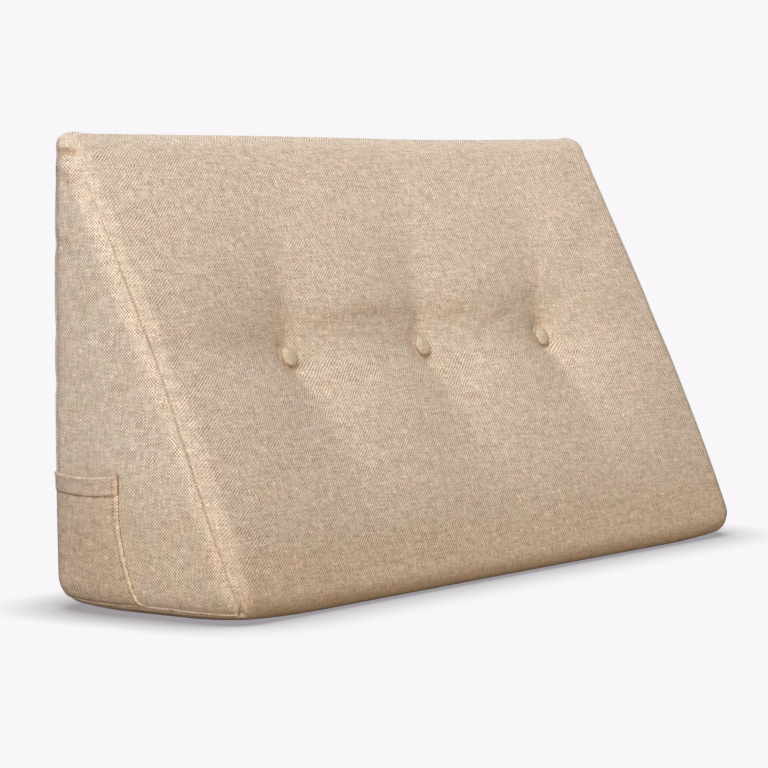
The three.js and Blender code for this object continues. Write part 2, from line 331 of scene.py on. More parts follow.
def base_lift(x, y):
    """How far the base is off the ground"""
    near_end = np.maximum(0, np.abs(2 * x / WIDTH) - LIFT_FREE_X) / (1 - LIFT_FREE_X)
    near_edge = np.maximum(0, np.abs(2 * y / BASE_DEPTH) - LIFT_FREE_Y) / (1 - LIFT_FREE_Y)
    return CORNER_LIFT * near_end**2 * near_edge**2


def skin_value(p):
    """Under 0 inside the cover, 0 on its skin, over 0 outside: a soft meeting of five bulging faces"""
    x, y, z = p.T
    across = 2 * x / WIDTH
    up = (y + BASE_DEPTH / 2) * SLOPE_Y + z * SLOPE_Z
    slack = TOP_SLACK * np.exp(-(((across - TOP_SLACK_AT) / TOP_SLACK_REACH) ** 2))
    back_level = BACK_CROWN * (1 - np.abs(across) ** ACROSS_POWER / 2)
    back_level *= hump(z / HEIGHT, UPRIGHT_CROWN_POWER)
    past = [
        (z * SLOPE_Y - (y + BASE_DEPTH / 2) * SLOPE_Z - front_level(x, up), FRONT_ROUND),
        (y - BASE_DEPTH / 2 - back_level, BACK_ROUND),
        (np.abs(x) - WIDTH / 2 - end_level(x, y, z), END_ROUND),
        (z - HEIGHT + slack, TOP_ROUND),
        (base_lift(x, y) - z, BASE_ROUND),
    ]
    return np.sqrt(sum(np.maximum(0, 1 + over / reach) ** 2 for over, reach in past)) - 1


def core_points(p):
    """Points of a slimmer wedge inside the cover, from which the skin is sought"""
    z = np.clip(p[:, 2], CORE_MARGIN, HEIGHT - CORE_TOP_MARGIN)
    slope_at = -BASE_DEPTH / 2 + (BASE_DEPTH - TOP_DEPTH) * z / HEIGHT
    low = slope_at + CORE_MARGIN
    high = BASE_DEPTH / 2 - CORE_MARGIN
    middle = (slope_at + BASE_DEPTH / 2) / 2
    y = np.where(low < high, np.clip(p[:, 1], low, np.maximum(high, low)), middle)
    return np.column_stack([np.clip(p[:, 0], CORE_MARGIN - WIDTH / 2, WIDTH / 2 - CORE_MARGIN), y, z])


def on_skin(sharp):
    """Moves points of the sharp wedge along their line from the core to the skin"""
    core = core_points(sharp)
    reach = sharp - core
    low = np.zeros(len(sharp))
    high = np.full(len(sharp), SEARCH_REACH)
    for _ in range(SEARCH_STEPS):
        middle = (low + high) / 2
        inside = skin_value(core + reach * middle[:, None]) < 0
        low = np.where(inside, middle, low)
        high = np.where(inside, high, middle)
    return core + reach * low[:, None]


def skin_normals(p):
    """Outward directions of the skin at points on it"""
    steps = np.eye(3) * NORMAL_STEP
    normals = np.column_stack([skin_value(p + step) - skin_value(p - step) for step in steps])
    return normals / np.linalg.norm(normals, axis=1)[:, None]


def stops(count, tight):
    """Shares from 0 up to 1, closer together at both ends"""
    t = np.arange(count) / count
    return t - tight * np.sin(2 * np.pi * t) / (2 * np.pi)


# How many points lie along each side of the sharp outline; they crowd towards corners and buttons, and
# the row of buttons splits the slope's points in two
HALF_SLOPE_POINTS = 56
TOP_POINTS = 8
BACK_POINTS = 64
BASE_POINTS = 40
CROWDING = 0.8
ROW_SHARE = (BUTTON_UP - BUTTON_SINK * SLOPE_Y / SLOPE_Z) / SLOPE_LENGTH
HALF_SLOPE_STOPS = stops(HALF_SLOPE_POINTS, CROWDING)
# Where points lie along the four sides of the sharp outline: slope, top, back and base
SIDE_STOPS = [
    np.concatenate([HALF_SLOPE_STOPS * ROW_SHARE, ROW_SHARE + HALF_SLOPE_STOPS * (1 - ROW_SHARE)]),
    stops(TOP_POINTS, 0),
    stops(BACK_POINTS, CROWDING),
    stops(BASE_POINTS, CROWDING),
]
SIDE_LENGTHS = np.array([SLOPE_LENGTH, TOP_DEPTH, HEIGHT, BASE_DEPTH])
SIDE_STARTS = np.concatenate([[0], np.cumsum(SIDE_LENGTHS)[:-1]])
SIDE_DIRECTIONS = np.array([(SLOPE_Y, SLOPE_Z), (1, 0), (0, -1), (-1, 0)])
SIDE_OUTWARD = np.column_stack([-SIDE_DIRECTIONS[:, 1], SIDE_DIRECTIONS[:, 0]])
POINT_SIDE = np.repeat(np.arange(4), [len(shares) for shares in SIDE_STOPS])
POINT_SHARE = np.concatenate(SIDE_STOPS)
POINT_WAY = SIDE_STARTS[POINT_SIDE] + POINT_SHARE * SIDE_LENGTHS[POINT_SIDE]
# Rings of points in each bay between two buttons, and in the bay between an end seam and a button
BAY_STOPS = 54
FIRST_BAY_RINGS = 44
# Rings inside the end's panel close in on its centre
INNER_SHARES = np.linspace(0.06, 0.93, 14)
FIRST_SEAM_RING = len(INNER_SHARES)
END_CENTRE = np.array([BASE_DEPTH * 0.17, HEIGHT * 0.36])
INSET_TO_CENTRE = 130 * MM


def outline_corners(inset):
    """Corners (y, z) of the sharp wedge's outline at an inset: slope's foot and top, back's top and foot"""
    def slope_at(z):
        return -BASE_DEPTH / 2 + (BASE_DEPTH - TOP_DEPTH) * z / HEIGHT + inset / SLOPE_Z
    back = BASE_DEPTH / 2 - inset
    foot = inset * BASE_SEAM_SHARE
    top = HEIGHT - inset
    return np.array([(slope_at(foot), foot), (slope_at(top), top), (back, top), (back, foot)])


def outline(inset):
    """Points (y, z) round the sharp wedge, each at its own inset; past a limit they close in on a centre"""
    corners = outline_corners(np.minimum(inset, SEAM_INSET_LIMIT))
    each = np.arange(len(POINT_SIDE))
    start = corners[POINT_SIDE, :, each]
    end = corners[(POINT_SIDE + 1) % 4, :, each]
    points = start + (end - start) * POINT_SHARE[:, None]
    beyond = np.maximum(inset - SEAM_INSET_LIMIT, 0) / INSET_TO_CENTRE
    return END_CENTRE + (points - END_CENTRE) * (1 - beyond)[:, None]


def seam_at(way):
    """Inset of the end seam at distances along the outline"""
    spread = np.linspace(-1, 1, SEAM_RUN_STEPS) * SEAM_RUN_SOFTNESS
    whole = SIDE_LENGTHS.sum()
    runs = [np.interp(way + step, SEAM_RUN[:, 0], SEAM_RUN[:, 1], period=whole) for step in spread]
    return np.mean(runs, axis=0)


def bay_places(far):
    """Distances from the left end of the rings between the end seams, closer together at the buttons"""
    left_way = 1 - np.arange(1, FIRST_BAY_RINGS) / FIRST_BAY_RINGS
    crowded = left_way - CROWDING * np.sin(np.pi * left_way) / np.pi
    first_bay = BUTTON_PITCH - (BUTTON_PITCH - far) * crowded
    middle_bays = [BUTTON_PITCH * (bay + stops(BAY_STOPS, CROWDING)) for bay in (1, 2)]
    return np.concatenate([first_bay, *middle_bays, [3 * BUTTON_PITCH], (WIDTH - first_bay)[::-1]])


def cover_grid():
    """Sharp points of the cover's rings, from the left end's middle to the right end's"""
    seam = seam_at(POINT_WAY)
    far = SEAM_OFFSETS[0]
    follow = 1 - smooth((np.abs(SEAM_OFFSETS) - SEAM_FOLLOW) / (far - SEAM_FOLLOW))
    insets = SEAM_OFFSETS[:, None] + follow[:, None] * seam
    count = len(POINT_SIDE)
    rim = np.array([outline(np.maximum(inset, 0)) for inset in insets])
    inner = END_CENTRE + (rim[0] - END_CENTRE) * INNER_SHARES[:, None, None]
    in_from_end = np.concatenate([np.zeros((len(inner), count)), np.maximum(-insets, 0)])
    end_rings = np.concatenate([inner, rim])
    places = bay_places(far)
    middle_x = np.repeat(places[:, None] - WIDTH / 2, count, 1)
    middle = np.repeat(outline(np.zeros(count))[None], len(places), 0)
    x = np.concatenate([in_from_end - WIDTH / 2, middle_x, (WIDTH / 2 - in_from_end)[::-1]])
    return np.concatenate([x[..., None], np.concatenate([end_rings, middle, end_rings[::-1]])], 2)


def seam_profile(beside, points, way):
    """How far the end seam moves the cloth beside it: a groove with a lip, or a ridge along the base"""
    soft = 1 - SEAM_SOFT_SHARE * smooth((points[:, 2] - SEAM_SOFT_FROM) / (SEAM_SOFT_TO - SEAM_SOFT_FROM))
    waves = np.sin(way / SHORT_WANDER) * np.sin(way / LONG_WANDER + LONG_WANDER_START)
    wander = 1 - SEAM_WANDER + SEAM_WANDER * waves
    groove = -SEAM_DEPTH * soft * wander * math.exp(-abs(beside) / SEAM_REACH)
    lip = SEAM_LIP * soft * math.exp(-(((beside + SEAM_LIP_AT) / SEAM_LIP_REACH) ** 2))
    ridge = BASE_RIDGE * wander * math.exp(-((beside / BASE_RIDGE_REACH) ** 2))
    tuck = -BASE_TUCK * math.exp(-(((beside + BASE_TUCK_AT) / BASE_TUCK_REACH) ** 2))
    at_base = smooth((BASE_SEAM_TOP - points[:, 2]) / BASE_SEAM_BLEND)
    return (groove + lip) * (1 - at_base) + (ridge + tuck) * at_base


def button_seat(number):
    """Middle of the underside of a button"""
    place = BUTTON_PLACES[number - 1]
    on_slope = np.array([place, BUTTON_UP * SLOPE_Y - BASE_DEPTH / 2, BUTTON_UP * SLOPE_Z])
    return on_slope - SLOPE_NORMAL * (BUTTON_SINK - SEAT_GAP)


def put_in_scene(name, data):
    """An object of the scene that shows a mesh, a light or a camera"""
    made = bpy.data.objects.new(name, data)
    bpy.context.scene.collection.objects.link(made)
    return made


def mesh_points(mesh):
    """All of a mesh's points as rows"""
    flat = np.zeros(len(mesh.vertices) * 3)
    mesh.vertices.foreach_get("co", flat)
    return flat.reshape(-1, 3)


def held_share(points):
    """How firmly the cover is held: 1 at its seams, buttons, pocket and base, 0 in the open cloth"""
    insets = [(corner - points[:, 1:]) @ out for corner, out in zip(outline_corners(0), SIDE_OUTWARD)]
    from_seam = np.maximum(np.min(insets, axis=0), WIDTH / 2 - np.abs(points[:, 0]))
    seats = [button_seat(number) for number in BUTTON_NUMBERS]
    from_button = np.min([np.linalg.norm(points - seat, axis=1) for seat in seats], axis=0)
    from_pocket = np.maximum(points[:, 2] - POCKET_MOUTH, POCKET_FRONT - POCKET_FLARE - points[:, 1])
    from_pocket = np.where(points[:, 0] < 0, np.maximum(from_pocket, points[:, 0] + WIDTH / 2), WIDTH)
    free = [from_seam - SIM_HELD_SEAM, from_button - SIM_HELD_BUTTON]
    free += [from_pocket - SIM_HELD_POCKET, points[:, 2] - SIM_HELD_BASE]
    return 1 - smooth(np.min(free, axis=0) / SIM_HELD_FADE)


def even_copy(points, faces):
    """The cover again as an object with an even mesh, which the simulation needs"""
    mesh = bpy.data.meshes.new("settling_cloth")
    mesh.from_pydata(points.tolist(), [], faces)
    copy = put_in_scene("settling_cloth", mesh)
    remesh = copy.modifiers.new("even_mesh", "REMESH")
    remesh.mode = "VOXEL"
    remesh.voxel_size = SIM_VOXEL
    even = bpy.data.meshes.new_from_object(copy.evaluated_get(bpy.context.evaluated_depsgraph_get()))
    copy.modifiers.clear()
    copy.data = even
    bpy.data.meshes.remove(mesh)
    return copy


def blow_up(copy, held):
    """Runs the cloth simulation on the even copy and gives its points at the end"""
    group = copy.vertex_groups.new(name="held")
    for index, share in enumerate(held):
        group.add([index], float(share), "REPLACE")
    cloth = copy.modifiers.new("cloth", "CLOTH")
    cloth.settings.use_pressure = True
    cloth.settings.uniform_pressure_force = SIM_PRESSURE
    cloth.settings.effector_weights.gravity = 0
    cloth.settings.vertex_group_mass = "held"
    cloth.settings.tension_stiffness = SIM_STIFFNESS
    cloth.settings.compression_stiffness = SIM_STIFFNESS
    cloth.collision_settings.use_collision = False
    scene = bpy.context.scene
    for moment in range(1, SIM_FRAMES + 1):
        scene.frame_set(moment)
    settled = mesh_points(copy.evaluated_get(bpy.context.evaluated_depsgraph_get()).to_mesh())
    scene.frame_set(1)
    return settled


def carried(points, spots, shifts):
    """Shift at each point, taken from the nearest of the spots whose shifts are known"""
    tree = KDTree(len(spots))
    for index, spot in enumerate(spots):
        tree.insert(spot, index)
    tree.balance()
    moved = np.zeros_like(points)
    for index, point in enumerate(points):
        near = tree.find_n(point, SIM_NEAREST)
        weights = np.array([1 / (distance + MM) for _, _, distance in near])
        moved[index] = weights @ shifts[[found for _, found, _ in near]] / weights.sum()
    return moved


def settle(points, faces):
    """Shift of every point of the cover after the simulation, never more than the cap"""
    copy = even_copy(points, faces)
    rest = mesh_points(copy.data)
    held = held_share(rest)
    start = rest - skin_normals(rest) * (SIM_START_IN * (1 - held))[:, None]
    copy.data.vertices.foreach_set("co", start.ravel())
    shift = (blow_up(copy, held) - rest) * (1 - held)[:, None]
    length = np.linalg.norm(shift, axis=1)
    shift *= (SIM_CAP * np.tanh(length / SIM_CAP) / np.maximum(length, MM / 1000))[:, None]
    even = copy.data
    bpy.data.objects.remove(copy)
    bpy.data.meshes.remove(even)
    return carried(points, rest, shift)


def cover_faces(rings, count):
    """Quads between the rings of a cover, and at each end a fan to its tip; the tips are the last points"""
    around = np.arange(count)
    ahead = (around + 1) % count
    quads = []
    for ring in range(rings - 1):
        a, b = ring * count + around, ring * count + ahead
        quads.append(np.column_stack([b, a, a + count, b + count]))
    last = (rings - 1) * count
    faces = [tuple(quad) for quad in np.vstack(quads).tolist()]
    faces += [(rings * count, int(a), int(b)) for a, b in zip(around, ahead)]
    faces += [(rings * count + 1, int(last + b), int(last + a)) for a, b in zip(around, ahead)]
    return faces


def build_cover():
    """The whole cover: its skin, settled by the simulation, with its seams drawn in"""
    sharp = cover_grid()
    rings, count = sharp.shape[:2]
    tips = np.array([(-WIDTH / 2, *END_CENTRE), (WIDTH / 2, *END_CENTRE)])
    skin = on_skin(np.vstack([sharp.reshape(-1, 3), tips]))
    normals = skin_normals(skin)
    points = skin.copy()
    for index, beside in enumerate(SEAM_OFFSETS):
        for ring in (FIRST_SEAM_RING + index, rings - 1 - FIRST_SEAM_RING - index):
            here = slice(ring * count, (ring + 1) * count)
            moved = seam_profile(beside, points[here], POINT_WAY)
            points[here] += normals[here] * moved[:, None]
    faces = cover_faces(rings, count)
    points += settle(skin, faces)
    mesh = bpy.data.meshes.new("pillow_cover")
    mesh.from_pydata(points.tolist(), [], faces)
    piece = put_in_scene("pillow_cover", mesh)
    lay_cover_cloth(mesh, sharp, skin[:rings * count].reshape(sharp.shape))
    return piece


def run_from(skin, order, side_along):
    """Cloth length from the first ring of an order to each ring, without the run along the edge"""
    steps = np.diff(skin[order], axis=0)
    steps -= np.sum(steps * side_along, axis=2)[..., None] * side_along
    lengths = np.linalg.norm(steps, axis=2)
    return np.concatenate([np.zeros((1, lengths.shape[1])), np.cumsum(lengths, axis=0)])


def flat_places(sharp, skin):
    """Every grid point's place on the cloth that goes round the cover, and on its end's own panel"""
    rings, count = sharp.shape[:2]
    directions = SIDE_DIRECTIONS[POINT_SIDE]
    outward = SIDE_OUTWARD[POINT_SIDE]
    side_along = np.column_stack([np.zeros(count), directions])
    side_corners = outline_corners(0)[POINT_SIDE]
    way = SIDE_STARTS[POINT_SIDE] + np.sum((sharp[..., 1:] - side_corners) * directions, axis=2)
    on_cover = np.stack([sharp[..., 0], way, np.zeros_like(way)], 2)
    on_end = np.concatenate([sharp[..., 1:], np.zeros((rings, count, 1))], 2)
    near_seam = 1 - smooth((np.abs(SEAM_OFFSETS) - SEAM_CALM_FULL) / SEAM_CALM_FADE)
    for side in (-1, 1):
        outwards = FIRST_SEAM_RING + np.arange(len(SEAM_OFFSETS))
        outwards = outwards if side < 0 else rings - 1 - outwards
        run = run_from(skin, outwards, side_along)
        inset = -np.sum((sharp[outwards, :, 1:] - side_corners) * outward, axis=2)
        past = inset - (inset[0] - run)
        on_cover[outwards, :, 2] = near_seam[:, None]
        on_end[outwards, :, :2] += outward * past[..., None]
        inwards = outwards[::-1]
        run = run_from(skin, inwards, side_along)
        on_cover[inwards, :, 0] = sharp[inwards[0], :, 0] + side * run
    return on_cover, on_end


def lay_cover_cloth(mesh, sharp, skin):
    """Gives every corner of every face its place on the flat cloth, and every face its panel"""
    rings, count = sharp.shape[:2]
    on_cover, on_end = flat_places(sharp, skin)
    seam_ring = FIRST_SEAM_RING + int(np.argmin(np.abs(SEAM_OFFSETS)))
    ring = np.repeat(np.arange(rings - 1), count)
    around = np.tile(np.arange(count), rings - 1)
    ahead = (around + 1) % count
    corner_ring = np.stack([ring, ring, ring + 1, ring + 1], 1)
    corner_at = np.stack([ahead, around, around, ahead], 1)
    cover_flat = on_cover[corner_ring, corner_at]
    wraps = (ahead == 0)[:, None] & (corner_at == 0)
    cover_flat[..., 1] += wraps * SIDE_LENGTHS.sum()
    in_end = (ring < seam_ring) | (ring >= rings - 1 - seam_ring)
    grid_flat = np.where(in_end[:, None, None], on_end[corner_ring, corner_at], cover_flat)
    fans = len(mesh.polygons) - len(in_end)
    corners = np.zeros(len(mesh.loops), np.int32)
    mesh.loops.foreach_get("vertex_index", corners)
    fan_spots = mesh_points(mesh)[corners[-3 * fans:]]
    fan_flat = np.column_stack([fan_spots[:, 1:], np.zeros(3 * fans)])
    put_flat_cloth(mesh, np.vstack([grid_flat.reshape(-1, 3), fan_flat]))
    panels = np.concatenate([in_end, np.ones(fans)]).astype(np.int32)
    mesh.polygons.foreach_set("material_index", panels)
    mesh.polygons.foreach_set("use_smooth", np.ones(len(mesh.polygons), bool))


def put_flat_cloth(mesh, flat):
    """Keeps each face corner's place on the flat cloth, where the weave's material finds it"""
    attribute = mesh.attributes.new("flat_cloth", "FLOAT_VECTOR", "CORNER")
    attribute.data.foreach_set("vector", flat.astype(np.float32).ravel())


def new_piece(name, points, faces, flat=None):
    """A mesh object of the scene; flat gives each point's place on the cloth it is cut from"""
    mesh = bpy.data.meshes.new(name)
    mesh.from_pydata([tuple(p) for p in np.asarray(points).tolist()], [], faces)
    mesh.polygons.foreach_set("use_smooth", np.ones(len(mesh.polygons), bool))
    if flat is not None:
        corners = np.zeros(len(mesh.loops), np.int32)
        mesh.loops.foreach_get("vertex_index", corners)
        put_flat_cloth(mesh, np.asarray(flat)[corners])
    return put_in_scene(name, mesh)


def grid_faces(rows, columns, closed=False):
    """Quads of a grid whose points lie row by row; closed joins each row's end to its start"""
    faces = []
    for r in range(rows - 1):
        for c in range(columns if closed else columns - 1):
            a, b = r * columns + c, r * columns + (c + 1) % columns
            faces.append((a, b, b + columns, a + columns))
    return faces


def along_path(values, way, where):
    """A place or direction at a distance along a path"""
    return np.array([np.interp(where, way, values[:, axis]) for axis in range(3)])


def stitch_points(path, normals):
    """Small capsules set end to end along a path on the cloth"""
    steps = np.linalg.norm(np.diff(path, axis=0), axis=1)
    way = np.concatenate([[0], np.cumsum(steps)])
    turns = [2 * math.pi * side / STITCH_SIDES for side in range(STITCH_SIDES)]
    points, faces = [], []
    for number in range(int(way[-1] / STITCH_PITCH)):
        at = (number + 0.5) * STITCH_PITCH
        middle = along_path(path, way, at)
        ahead = along_path(path, way, at + STITCH_LENGTH / 2)
        ahead -= along_path(path, way, at - STITCH_LENGTH / 2)
        ahead /= np.linalg.norm(ahead)
        out = along_path(normals, way, at)
        out -= ahead * out.dot(ahead)
        out /= np.linalg.norm(out)
        across = np.cross(ahead, out)
        first = len(points)
        for place, full in STITCH_RINGS:
            dip = STITCH_SINK + (1 - full) * STITCH_RADIUS
            centre = middle + ahead * (place * STITCH_LENGTH) - out * dip
            for turn in turns:
                spoke = across * math.cos(turn) + out * math.sin(turn)
                points.append(centre + spoke * STITCH_RADIUS * full)
        last = first + (len(STITCH_RINGS) - 1) * STITCH_SIDES
        sides = grid_faces(len(STITCH_RINGS), STITCH_SIDES, closed=True)
        faces += [tuple(first + i for i in face) for face in sides]
        faces.append(tuple(first + i for i in range(STITCH_SIDES))[::-1])
        faces.append(tuple(last + i for i in range(STITCH_SIDES)))
    return points, faces


def stitched_piece(name, rows):
    """One piece of all the stitches of several rows, each given by its path and the cloth's normals"""
    points, faces = [], []
    for path, normals in rows:
        more_points, more_faces = stitch_points(path, normals)
        faces += [tuple(i + len(points) for i in face) for face in more_faces]
        points += more_points
    return new_piece(name, points, faces)


def build_topstitch():
    """The row of stitches on the front, beside each end seam"""
    in_from_end = TOPSTITCH_IN - seam_at(TOPSTITCH_RISE * SLOPE_LENGTH)
    rows = []
    for side in (-1, 1):
        sharp = np.column_stack([
            side * (WIDTH / 2 - in_from_end),
            -BASE_DEPTH / 2 + (BASE_DEPTH - TOP_DEPTH) * TOPSTITCH_RISE,
            HEIGHT * TOPSTITCH_RISE,
        ])
        path = on_skin(sharp)
        rows.append((path, skin_normals(path)))
    return stitched_piece("seam_topstitch", rows)


def pocket_front_at(z):
    """The pocket's front edge: straight down from the mouth, then running forward to the foot"""
    down = np.clip((POCKET_FLARE_FROM - z) / (POCKET_FLARE_FROM - POCKET_FOOT), 0, 1)
    return POCKET_FRONT - POCKET_FLARE * down**POCKET_FLARE_BEND


def pocket_foot_at(y):
    """The pocket's cloth ends in the base seam"""
    return seam_at(SIDE_STARTS[3] + BASE_DEPTH / 2 - y) * BASE_SEAM_SHARE


def pocket_layers(along, high):
    """Inner and outer face of the pocket's cloth at shares along its width and up its height"""
    top = POCKET_MOUTH - POCKET_MOUTH_DIP * hump(along, 1)
    foot = pocket_foot_at(POCKET_BACK + (POCKET_FRONT - POCKET_FLARE - POCKET_BACK) * along)
    z = foot + (top - foot) * high
    y = POCKET_BACK + (pocket_front_at(z) - POCKET_BACK) * along
    skin = on_skin(np.column_stack([np.full(len(z), -WIDTH / 2), y, z]))
    normals = skin_normals(skin)
    open_by = hump(along, POCKET_SLACK_POWER) * smooth(high / POCKET_OPENS_BY)
    taper = smooth((z - foot) / POCKET_FOOT_TAPER)
    gap = POCKET_SEAM_GAP * taper + (POCKET_SLACK - POCKET_SEAM_GAP) * open_by
    below_mouth = top - z
    from_edge = y - pocket_front_at(z)
    hem = smooth((POCKET_HEM - below_mouth) / POCKET_HEM_BLEND)
    edge = smooth((POCKET_EDGE_TURN - from_edge) / POCKET_EDGE_BLEND)
    thick = POCKET_CLOTH + POCKET_HEM_EXTRA * hem + POCKET_EDGE_EXTRA * edge
    thick += POCKET_FOLD_EXTRA * np.exp(-((below_mouth / POCKET_FOLD_REACH - 1) ** 2))
    sewn = np.exp(-(((below_mouth - POCKET_HEM) / POCKET_STITCH_REACH) ** 2))
    sewn = np.maximum(sewn, np.exp(-(((from_edge - POCKET_EDGE_TURN) / POCKET_STITCH_REACH) ** 2)))
    thick -= POCKET_STITCH_SINK * sewn
    rim = np.minimum(below_mouth, from_edge)
    from_round = 1 - np.clip(rim / POCKET_RIM_ROUND, 0, 1)
    thick -= POCKET_RIM_DROP * (1 - np.sqrt(1 - from_round**2))
    thick *= POCKET_FOOT_SHARE + (1 - POCKET_FOOT_SHARE) * taper
    # The rims get the mark for a painted highlight, the stitch lines the mark for painted shade
    mark = RIM_HIGHLIGHT_MARK * (1 - smooth((rim - RIM_MARK_FROM) / POCKET_RIM_ROUND))
    mark += STITCH_SHADE_MARK * sewn * (rim > STITCH_MARK_FROM)
    flat = np.column_stack([y, z, mark])
    return skin + normals * gap[:, None], skin + normals * (gap + thick)[:, None], normals, flat


def pocket_stops():
    """Shares along the pocket's width and up its height, closer together at its edges"""
    edge = POCKET_EDGE_STOPS / (POCKET_BACK - POCKET_FRONT)
    along = 1 - np.concatenate([edge, np.linspace(edge[-1], 1, POCKET_EVEN_ACROSS)[1:]])[::-1]
    mouth = POCKET_MOUTH_STOPS / (POCKET_MOUTH - POCKET_FOOT)
    foot = POCKET_FOOT_STOPS / (POCKET_MOUTH - POCKET_FOOT)
    between = np.linspace(foot[-1], 1 - mouth[-1], POCKET_EVEN_UP)[1:]
    return along, np.concatenate([foot, between, 1 - mouth[::-1][1:]])


def build_pocket():
    """The pocket's cloth: an outer and an inner layer, joined all round their border"""
    along_stops, high_stops = pocket_stops()
    columns, rows = len(along_stops), len(high_stops)
    along, high = np.meshgrid(along_stops, high_stops)
    inner, outer, _, flat = pocket_layers(along.ravel(), high.ravel())
    total = rows * columns
    quads = grid_faces(rows, columns)
    faces = [face[::-1] for face in quads] + [tuple(i + total for i in face) for face in quads]
    border = list(range(columns))
    border += [r * columns + columns - 1 for r in range(1, rows)]
    border += [(rows - 1) * columns + c for c in range(columns - 2, -1, -1)]
    border += [r * columns for r in range(rows - 2, 0, -1)]
    for a, b in zip(border, border[1:] + border[:1]):
        faces.append((a, b, b + total, a + total))
    # The inner layer gets the mark for painted shade, which also darkens the border wall towards its foot
    inside_flat = np.column_stack([flat[:, :2], np.full(total, INSIDE_SHADE_MARK)])
    return new_piece("pocket_sheet", np.vstack([outer, inner]), faces, np.vstack([flat, inside_flat]))


def build_pocket_stitch():
    """Stitches along the pocket's hem and inside its front edge"""
    share = POCKET_STITCH_SHARES
    deep = POCKET_HEM / (POCKET_MOUTH - POCKET_FOOT)
    hem_line = (share, np.full(len(share), 1 - deep))
    edge_z = POCKET_FOOT + (POCKET_MOUTH - POCKET_FOOT) * share
    in_from_edge = POCKET_EDGE_TURN / (POCKET_BACK - pocket_front_at(edge_z))
    edge_line = (1 - in_from_edge, share)
    rows = []
    for along, high in (hem_line, edge_line):
        _, outer, normals, _ = pocket_layers(along, high)
        rows.append((outer, normals))
    return stitched_piece("pocket_topstitch", rows)


def build_button(number):
    """A covered button: cloth drawn over a dome and gathered under its rim"""
    turns = np.arange(BUTTON_SIDES) / BUTTON_SIDES * 2 * math.pi
    seat = button_seat(number)
    up_slope = np.array([0, SLOPE_Y, SLOPE_Z])
    cloth_at = BUTTON_PLACES[number - 1] * BUTTON_CLOTH_APART
    points, flat = [], []
    for share, high in BUTTON_PROFILE:
        gathered = GATHER_DEPTH * max(0, GATHERS_END - high)
        folds = 1 + gathered * np.sin(GATHERS * turns + GATHERS_TURN * number)
        drawn = BUTTON_RADIUS * (share if high > BUTTON_RIM_HIGH else 2 - share)
        for radius, turn in zip(BUTTON_RADIUS * share * folds, turns):
            aside = np.array([1, 0, 0]) * radius * math.cos(turn) + up_slope * radius * math.sin(turn)
            points.append(seat + aside + SLOPE_NORMAL * BUTTON_HEIGHT * high)
            flat.append((cloth_at + drawn * math.cos(turn), BUTTON_CLOTH_UP + drawn * math.sin(turn), 0))
    faces = grid_faces(len(BUTTON_PROFILE), BUTTON_SIDES, closed=True)
    top = len(points)
    last = top - BUTTON_SIDES
    around = [(i, (i + 1) % BUTTON_SIDES) for i in range(BUTTON_SIDES)]
    faces += [(last + i, last + ahead, top) for i, ahead in around]
    faces += [(ahead, i, top + 1) for i, ahead in around]
    points += [seat + SLOPE_NORMAL * BUTTON_HEIGHT, seat]
    flat += [(cloth_at, BUTTON_CLOTH_UP, 0)] * 2
    return new_piece(f"covered_button_{number}", points, faces, flat)


def seat_shift(piece):
    """Where the skin's own frame lies in the frame of the whole part"""
    low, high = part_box("wedge_body")
    points = mesh_points(piece.data)
    middle = (points.min(0) + points.max(0)) / 2
    return Vector((
        (low.x + high.x) / 2 - middle[0],
        (low.y + high.y) / 2 - middle[1],
        low.z - points[:, 2].min(),
    ))


def linear(red, green, blue):
    """A colour given in screen values, 0 to 255"""
    def one(value):
        share = value / 255
        return share / 12.92 if share <= 0.04045 else ((share + 0.055) / 1.055) ** 2.4
    return (one(red), one(green), one(blue), 1)


def tinted(colour, tint):
    """A colour seen through a tint"""
    return (*[value * share for value, share in zip(colour, tint)], 1)


# Yarns and thread
LIGHT_YARN = linear(248, 231, 210)
DARK_YARN = linear(136, 110, 84)
# The pocket's cloth is the ends' cloth under a darker, warmer tint: painted shade
POCKET_SHADE_TINT = (0.95, 0.91, 0.88)
BUTTON_TINT = (0.92, 0.95, 0.94)
DARK_THREAD = linear(184, 160, 134)
LIGHT_THREAD = linear(212, 192, 168)

# Finish of the cloth and of the thread
CLOTH_FINISH = {"Roughness": 0.92, "Specular IOR Level": 0.2, "Sheen Weight": 0.06, "Sheen Roughness": 0.5}
CLOTH_BUMP = {"strength": 0.35, "distance": 0.4 * MM}
THREAD_ROUGHNESS = 0.7
THREAD_TWIST_SCALE = 900.0
THREAD_BUMP = {"strength": 0.4, "distance": 0.1 * MM}

# Look of the weave; a span of four numbers turns the range of the first two into that of the last two
CALM_SPAN = (0.0, 1.0, 1.0, 0.5)
# The marks paint a highlight on the pocket's rims, and shade in stitch lines and inside the pocket
PAINTED_RIM_HIGHLIGHT_SPAN = (1.2, 2.0, 1.0, 1.2)
PAINTED_MARK_SHADE_SPAN = (-1.0, 0.0, 0.5, 1.0)
SLUB_SCALE = 60.0
SLUB_SPAN = (0.3, 0.7, -0.35, 0.35)
ON_TOP_SPAN = (-0.7, 0.7)
YARN_TONE_SCALE = 0.8
YARN_TONE_ROUGHNESS = 0.6
YARN_TONE_STRETCH = 0.2
TONE_SPAN = (0.12, 0.88)
FLECK_SCALE = 0.6
FLECK_SPAN = (0.62, 0.74, 1.0, 1.25)
HOLE_SPAN = (0.66, 0.76, 1.0, 0.78)
